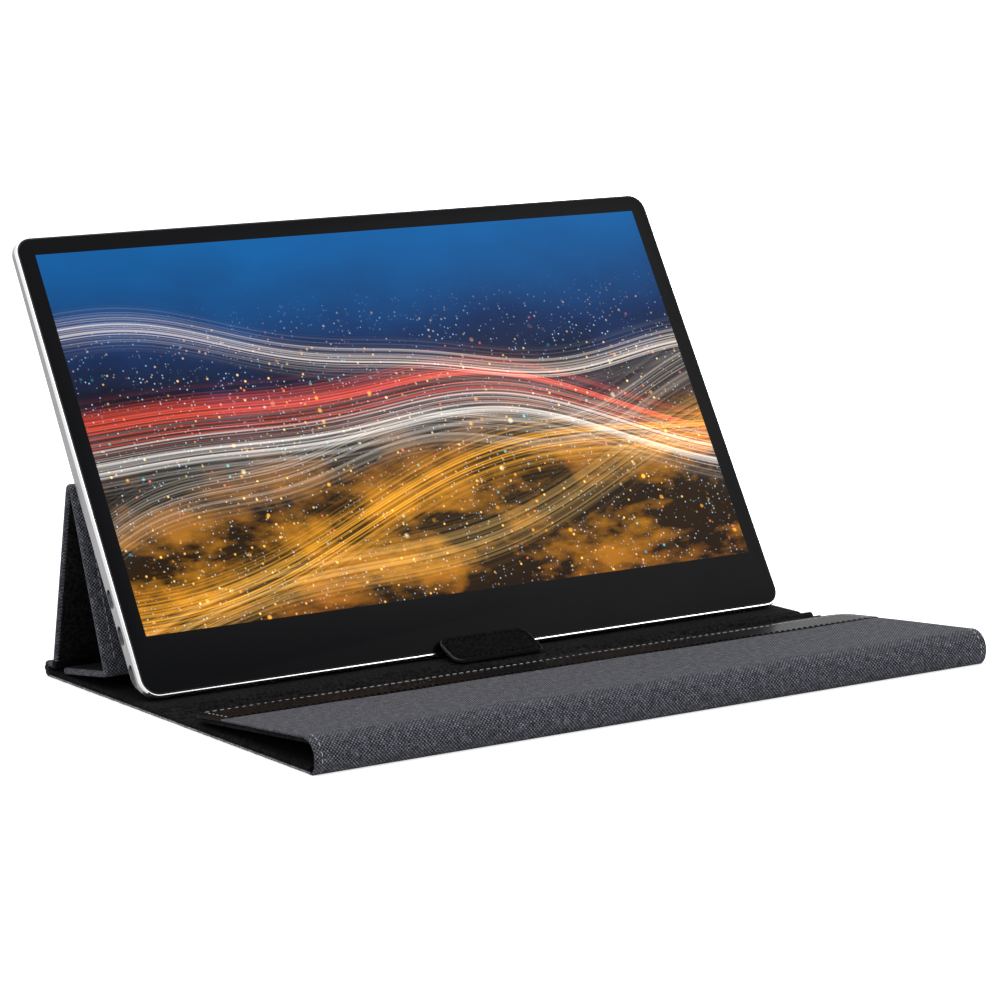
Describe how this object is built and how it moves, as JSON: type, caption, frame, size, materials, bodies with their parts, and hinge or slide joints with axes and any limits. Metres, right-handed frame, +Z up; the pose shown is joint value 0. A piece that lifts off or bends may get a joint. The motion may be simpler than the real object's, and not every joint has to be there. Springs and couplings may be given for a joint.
{
  "type": "portable monitor with cover",
  "caption": "Flat portable display that leans on a stiffened fabric folio cover, folded into a triangular prop behind it and a wrap-round flap in front.",
  "frame": {"origin": "on the table, under the middle of the whole object", "axes": "+X to the right across the screen, +Y from the front flap to the prop behind, +Z up"},
  "size_m": [0.3674, 0.277, 0.2051],
  "materials": {
    "aluminium": "satin",
    "key_metal": "satin",
    "glass": "glossy",
    "display": "glossy",
    "white_film": "matte",
    "acrylic": "glossy",
    "steel": "brushed",
    "circuit_board": "matte",
    "flex_film": "glossy",
    "black_plastic": "matte",
    "fabric": "matte",
    "lining": "matte",
    "stiffener_board": "matte",
    "trim": "satin",
    "tab_leather": "matte",
    "magnet": "satin"
  },
  "bodies": {
    "base_rear": {"base_rear_fabric": "fabric", "base_rear_board": "stiffener_board", "base_rear_lining": "lining", "base_magnets": "magnet", "base_fold_strip": "lining", "rear_fold_strip": "fabric", "tab_foot": "tab_leather"},
    "base_front": {"base_front_fabric": "fabric", "base_front_board": "stiffener_board", "base_front_lining": "lining", "front_fold_strip": "fabric"},
    "front_spine": {"front_spine_fabric": "fabric", "front_spine_board": "stiffener_board", "front_spine_lining": "lining"},
    "flap": {"flap_fabric": "fabric", "flap_board": "stiffener_board", "flap_lining": "lining", "flap_trim": "trim", "flap_magnets": "magnet", "flap_fold_strip": "fabric"},
    "rear_spine": {"rear_spine_fabric": "fabric", "rear_spine_board": "stiffener_board", "rear_spine_lining": "lining", "leg_fold_strip": "lining"},
    "rear_leg": {"rear_leg_fabric": "fabric", "rear_leg_board": "stiffener_board", "rear_leg_lining": "lining", "ridge_fold_strip": "fabric"},
    "front_leg": {"front_leg_fabric": "fabric", "front_leg_board": "stiffener_board", "front_leg_lining": "lining", "tail_fold_strip": "fabric"},
    "tail": {"tail_fabric": "fabric", "tail_board": "stiffener_board", "tail_lining": "lining", "tail_magnets": "magnet"},
    "tab": {"tab_leather": "tab_leather"},
    "monitor": {"rear_housing": "aluminium", "mid_frame": "black_plastic", "cover_glass": "glass", "display_panel": "display", "diffuser_film": "white_film", "light_guide": "acrylic", "reflector_sheet": "white_film", "backlight_tray": "steel", "led_strip": "white_film", "source_board": "circuit_board", "panel_flex": "flex_film", "main_board": "circuit_board", "board_screws": "steel", "usb_c_port_upper": "steel", "usb_c_port_lower": "steel", "mini_hdmi_port": "steel", "audio_jack": "black_plastic", "key_board": "circuit_board", "speaker_left": "black_plastic", "speaker_right": "black_plastic"},
    "power_button": {"power_button": "key_metal"},
    "menu_rocker": {"menu_rocker": "key_metal"}
  },
  "joints": [
    {"name": "base_crease", "type": "hinge", "parent": "base_rear", "child": "base_front", "pos_m": [0, -0.01391, 0.0036], "axis": [-1, 0, 0], "range_deg": [0, 90], "deforming": ["base_fold_strip"]},
    {"name": "front_spine_fold", "type": "hinge", "parent": "base_front", "child": "front_spine", "pos_m": [0, -0.1357, 0.0028], "axis": [1, 0, 0], "range_deg": [0, 90], "deforming": ["front_fold_strip"]},
    {"name": "flap_fold", "type": "hinge", "parent": "front_spine", "child": "flap", "pos_m": [0, -0.13562, 0.01427], "axis": [1, 0, 0], "range_deg": [0, 95], "deforming": ["flap_fold_strip"]},
    {"name": "rear_spine_fold", "type": "hinge", "parent": "base_rear", "child": "rear_spine", "pos_m": [0, 0.11139, 0.0039], "axis": [-1, 0, 0], "range_deg": [0, 180], "deforming": ["rear_fold_strip"]},
    {"name": "rear_leg_fold", "type": "hinge", "parent": "rear_spine", "child": "rear_leg", "pos_m": [0, 0.1031, 0.0078], "axis": [1, 0, 0], "range_deg": [0, 77.2], "deforming": ["leg_fold_strip"]},
    {"name": "front_leg_fold", "type": "hinge", "parent": "rear_leg", "child": "front_leg", "pos_m": [0, 0.08061, 0.09212], "axis": [-1, 0, 0], "range_deg": [0, 8], "deforming": ["ridge_fold_strip"]},
    {"name": "tail_fold", "type": "hinge", "parent": "front_leg", "child": "tail", "pos_m": [0, 0.0526, 0.0125], "axis": [1, 0, 0], "range_deg": [0, 65], "deforming": ["tail_fold_strip"]},
    {"name": "tab_fold", "type": "hinge", "parent": "base_rear", "child": "tab", "pos_m": [0, 0.00213, 0.0045], "axis": [1, 0, 0], "range_deg": [0, 100]},
    {"name": "monitor_lift", "type": "slide", "parent": "base_rear", "child": "monitor", "axis": [0, 0.512, 0.859], "range_m": [0, 0.24]},
    {"name": "power_press", "type": "slide", "parent": "monitor", "child": "power_button", "axis": [-1, 0, 0], "range_m": [0, 0.0004], "stiffness_N_per_m": 400, "springref_m": -0.0005},
    {"name": "rocker_tilt", "type": "hinge", "parent": "monitor", "child": "menu_rocker", "pos_m": [0.1802, 0.04877, 0.0519], "axis": [0, 0.859, -0.512], "range_deg": [-2.5, 2.5], "stiffness_Nm_per_rad": 0.02}
  ],
  "couplings": [
    {"joint": "rear_leg_fold", "follows": "rear_spine_fold", "ratio": 0.42889},
    {"joint": "front_leg_fold", "follows": "tail_fold", "ratio": 0.12308}
  ]
}
